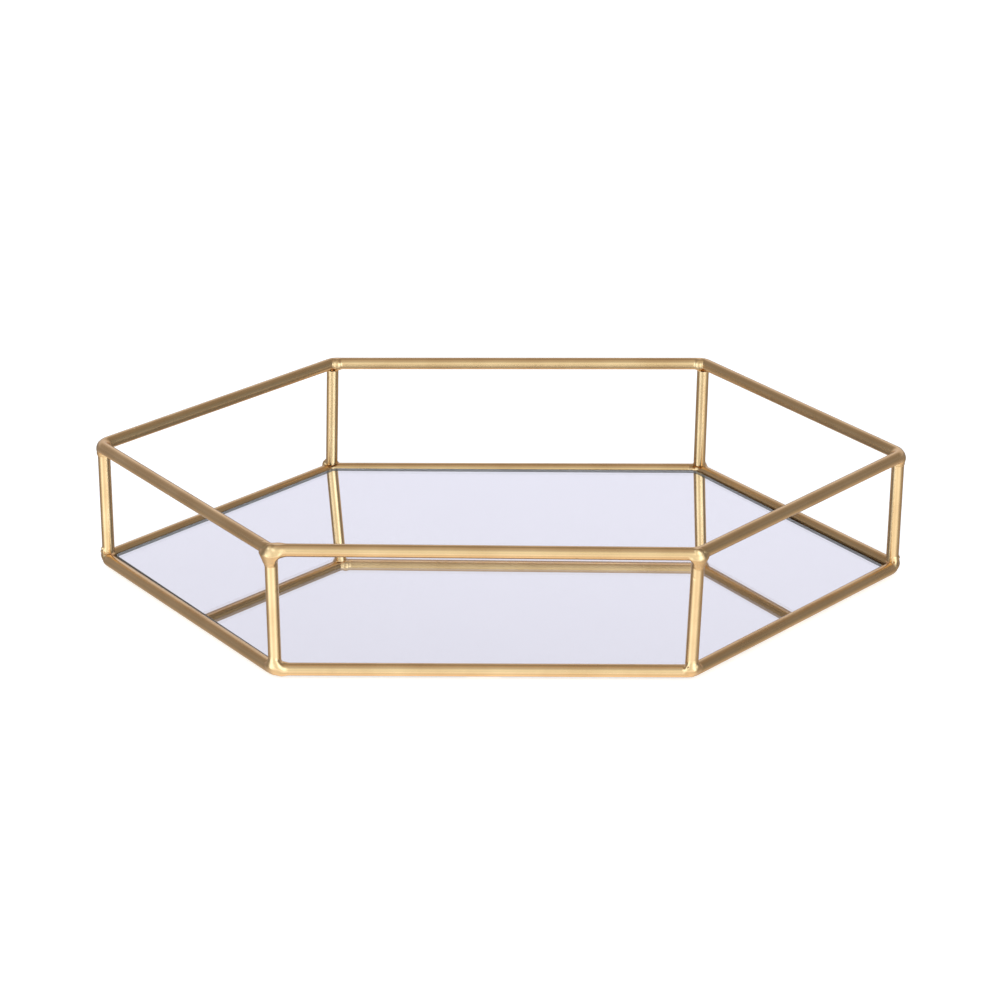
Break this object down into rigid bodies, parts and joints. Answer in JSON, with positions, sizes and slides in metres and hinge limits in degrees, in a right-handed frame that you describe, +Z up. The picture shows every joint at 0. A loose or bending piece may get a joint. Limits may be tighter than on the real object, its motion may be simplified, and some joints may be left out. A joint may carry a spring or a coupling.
{
  "type": "dresser vanity tray",
  "caption": "Elongated hexagonal vanity tray: two gold rod rings joined by welded corner posts, with a mirror floor on a backing board.",
  "frame": {"origin": "on the table, under the middle of the tray's bounding box", "axes": "+X along the tray from tip to tip, +Y from the front rail to the back rail, +Z up"},
  "size_m": [0.3244, 0.2001, 0.055],
  "materials": {
    "gold_rod": "satin gold plating over steel rod, faintly lacquered",
    "gold_weld": "satin gold plating over ground weld beads",
    "gold_tab": "satin gold plating over sheet steel",
    "mirror": "back-silvered float glass with ground edges",
    "hardboard": "dark hardboard",
    "foam_pad": "matte black foam rubber"
  },
  "bodies": {
    "root": {"top_ring": "gold_rod", "bottom_ring": "gold_rod", "post_left": "gold_rod", "post_front_left": "gold_rod", "post_front_right": "gold_rod", "post_right": "gold_rod", "post_back_right": "gold_rod", "post_back_left": "gold_rod", "weld_top_left": "gold_weld", "weld_top_front_left": "gold_weld", "weld_top_front_right": "gold_weld", "weld_top_right": "gold_weld", "weld_top_back_right": "gold_weld", "weld_top_back_left": "gold_weld", "weld_bottom_left": "gold_weld", "weld_bottom_front_left": "gold_weld", "weld_bottom_front_right": "gold_weld", "weld_bottom_right": "gold_weld", "weld_bottom_back_right": "gold_weld", "weld_bottom_back_left": "gold_weld", "mirror": "mirror", "backing_board": "hardboard", "tab_front_left": "gold_tab", "tab_front": "gold_tab", "tab_front_right": "gold_tab", "tab_back_right": "gold_tab", "tab_back": "gold_tab", "tab_back_left": "gold_tab", "pad_left": "foam_pad", "pad_front_left": "foam_pad", "pad_front_right": "foam_pad", "pad_right": "foam_pad", "pad_back_right": "foam_pad", "pad_back_left": "foam_pad"}
  },
  "joints": []
}
